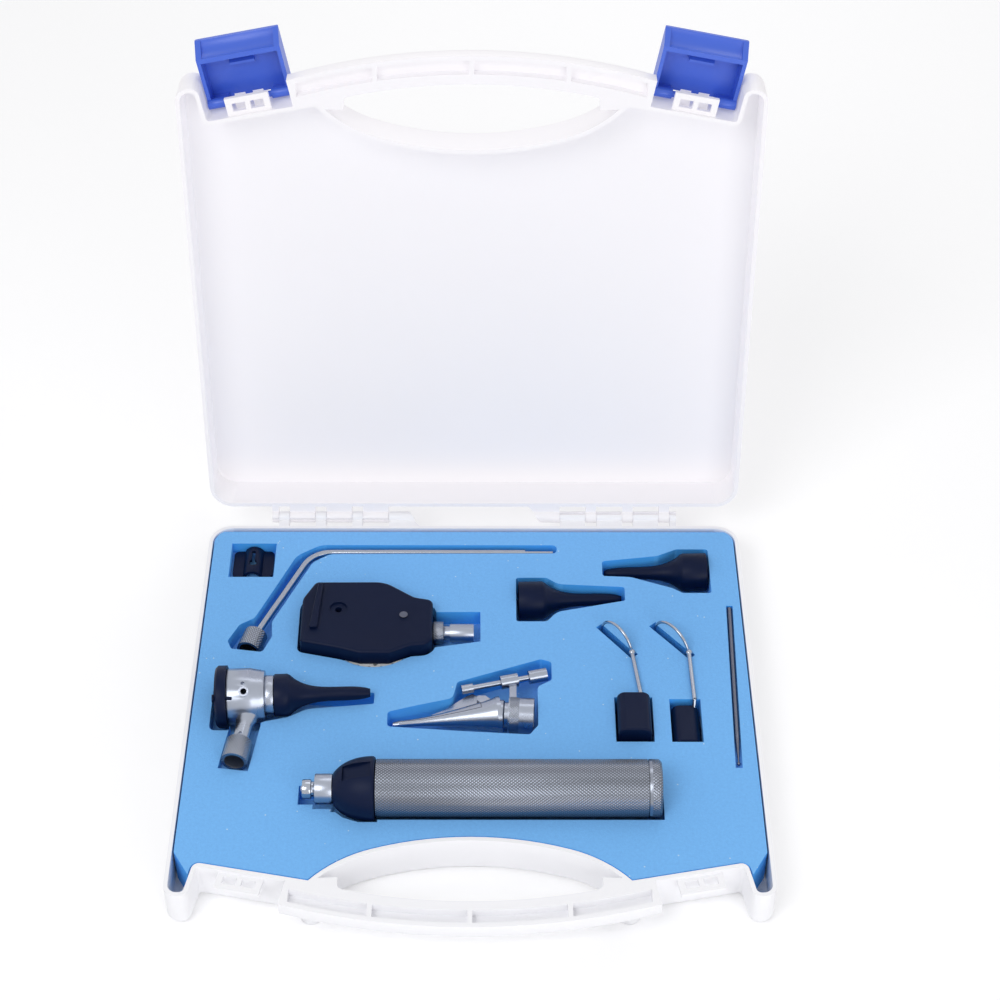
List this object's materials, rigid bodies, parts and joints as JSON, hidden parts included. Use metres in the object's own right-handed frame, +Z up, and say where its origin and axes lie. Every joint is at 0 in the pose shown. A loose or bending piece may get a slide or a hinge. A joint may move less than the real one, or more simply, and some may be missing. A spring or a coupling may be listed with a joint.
{
  "type": "instrument carry case",
  "caption": "Hinged plastic carry case standing open, with a battery handle, otoscope, ophthalmoscope, specula and mirrors seated in a cut foam tray.",
  "frame": {"origin": "centre of the base half's underside", "axes": "+X to the case's right as seen from its handle, +Y towards its hinge, +Z up"},
  "size_m": [0.277, 0.3211, 0.2841],
  "materials": {
    "case": "natural moulded polypropylene, satin",
    "lid": "translucent frosted polypropylene",
    "latch": "royal blue satin plastic",
    "foam": "sky blue fine-celled foam",
    "black": "black satin plastic",
    "gloss_black": "black gloss plastic",
    "chrome": "satin chrome",
    "steel": "brushed steel",
    "white": "white plastic",
    "glass": "clear",
    "mirror": "silvered glass",
    "cell": "plain printed sleeve",
    "brass": "plain"
  },
  "bodies": {
    "base": {"base_shell": "case", "foam_tray": "foam"},
    "lid": {"lid_shell": "lid"},
    "latch_left": {"latch_left": "latch"},
    "latch_right": {"latch_right": "latch"},
    "battery_handle": {"handle_tube": "chrome", "handle_collar": "chrome", "handle_bayonet": "black", "contact_pin": "brass", "battery_front": "cell", "battery_rear": "cell", "battery_spring": "steel"},
    "switch_neck": {"handle_neck": "black"},
    "cap": {"end_cap": "chrome"},
    "otoscope": {"otoscope_body": "chrome", "otoscope_nose": "chrome", "otoscope_screw": "chrome", "otoscope_socket": "chrome"},
    "eyepiece": {"lens_frame": "black", "otoscope_lens": "glass"},
    "fitted_speculum": {"mounted_speculum": "black"},
    "ophthalmoscope": {"head_back": "black", "head_front": "black", "wheel_axle": "steel", "brow_rest": "black", "head_screw": "chrome", "head_collar": "chrome", "head_connector": "chrome"},
    "dial": {"lens_wheel": "white"},
    "nasal_speculum": {"nasal_body": "chrome"},
    "opening_blade": {"nasal_blade": "chrome"},
    "spreading_screw": {"nasal_screw": "chrome"},
    "arm_illuminator": {"arm_tube": "chrome", "arm_tip": "chrome", "arm_socket": "chrome"},
    "throat_mirror_1": {"mirror_frame_1": "chrome", "mirror_glass_1": "mirror", "mirror_holder_1": "black"},
    "throat_mirror_2": {"mirror_frame_2": "chrome", "mirror_glass_2": "mirror", "mirror_holder_2": "black"},
    "loose_speculum_1": {"speculum_1": "black"},
    "loose_speculum_2": {"speculum_2": "black"},
    "spring_clip": {"clip": "black"},
    "rod": {"applicator": "chrome"}
  },
  "joints": [
    {"name": "lid_hinge", "type": "hinge", "parent": "base", "child": "lid", "pos_m": [0, 0.12555, 0.022], "axis": [-1, 0, 0], "range_deg": [-98.3, 0]},
    {"name": "latch_left_swing", "type": "hinge", "parent": "lid", "child": "latch_left", "pos_m": [-0.10469, 0.17044, 0.25353], "axis": [-0.9816, -0.0275, -0.1888], "range_deg": [-90, 0]},
    {"name": "latch_right_swing", "type": "hinge", "parent": "lid", "child": "latch_right", "pos_m": [0.10469, 0.17044, 0.25353], "axis": [-0.9816, 0.0275, 0.1888], "range_deg": [-90, 0]},
    {"name": "battery_handle_lift", "type": "slide", "parent": "base", "child": "battery_handle", "axis": [0, 0, 1], "range_m": [0, 0.06]},
    {"name": "otoscope_lift", "type": "slide", "parent": "base", "child": "otoscope", "axis": [0, 0, 1], "range_m": [0, 0.06]},
    {"name": "ophthalmoscope_lift", "type": "slide", "parent": "base", "child": "ophthalmoscope", "axis": [0, 0, 1], "range_m": [0, 0.06]},
    {"name": "nasal_speculum_lift", "type": "slide", "parent": "base", "child": "nasal_speculum", "axis": [0, 0, 1], "range_m": [0, 0.06]},
    {"name": "arm_illuminator_lift", "type": "slide", "parent": "base", "child": "arm_illuminator", "axis": [0, 0, 1], "range_m": [0, 0.06]},
    {"name": "throat_mirror_1_lift", "type": "slide", "parent": "base", "child": "throat_mirror_1", "axis": [0, 0, 1], "range_m": [0, 0.06]},
    {"name": "throat_mirror_2_lift", "type": "slide", "parent": "base", "child": "throat_mirror_2", "axis": [0, 0, 1], "range_m": [0, 0.06]},
    {"name": "loose_speculum_1_lift", "type": "slide", "parent": "base", "child": "loose_speculum_1", "axis": [0, 0, 1], "range_m": [0, 0.06]},
    {"name": "loose_speculum_2_lift", "type": "slide", "parent": "base", "child": "loose_speculum_2", "axis": [0, 0, 1], "range_m": [0, 0.06]},
    {"name": "spring_clip_lift", "type": "slide", "parent": "base", "child": "spring_clip", "axis": [0, 0, 1], "range_m": [0, 0.06]},
    {"name": "rod_lift", "type": "slide", "parent": "base", "child": "rod", "axis": [0, 0, 1], "range_m": [0, 0.06]},
    {"name": "switch_turn", "type": "hinge", "parent": "battery_handle", "child": "switch_neck", "pos_m": [-0.055, -0.0612, 0.026], "axis": [1, 0, 0], "range_deg": [0, 90]},
    {"name": "cap_turn", "type": "hinge", "parent": "battery_handle", "child": "cap", "pos_m": [0.085, -0.0612, 0.026], "axis": [1, 0, 0], "range_deg": [0, 720]},
    {"name": "eyepiece_swing", "type": "hinge", "parent": "otoscope", "child": "eyepiece", "pos_m": [-0.11815, -0.01277, 0.03448], "axis": [0.9993, 0.0384, 0], "range_deg": [0, 90]},
    {"name": "speculum_twist", "type": "hinge", "parent": "otoscope", "child": "fitted_speculum", "pos_m": [-0.1185, -0.0038, 0.0255], "axis": [0.9993, 0.0384, 0], "range_deg": [0, 45]},
    {"name": "dial_turn", "type": "hinge", "parent": "ophthalmoscope", "child": "dial", "pos_m": [-0.0495, 0.0435, 0.018], "axis": [0, 0, 1], "continuous": true},
    {"name": "screw_turn", "type": "hinge", "parent": "nasal_speculum", "child": "spreading_screw", "pos_m": [-0.0053, 0.0056, 0.02], "axis": [0.9711, 0.2385, 0], "range_deg": [0, 360]},
    {"name": "blade_open", "type": "hinge", "parent": "nasal_speculum", "child": "opening_blade", "pos_m": [0.0042, 0.0013, 0.0165], "axis": [0, 0, -1], "range_deg": [0, 2]}
  ],
  "couplings": [
    {"joint": "blade_open", "follows": "screw_turn", "ratio": 0.0055556}
  ]
}
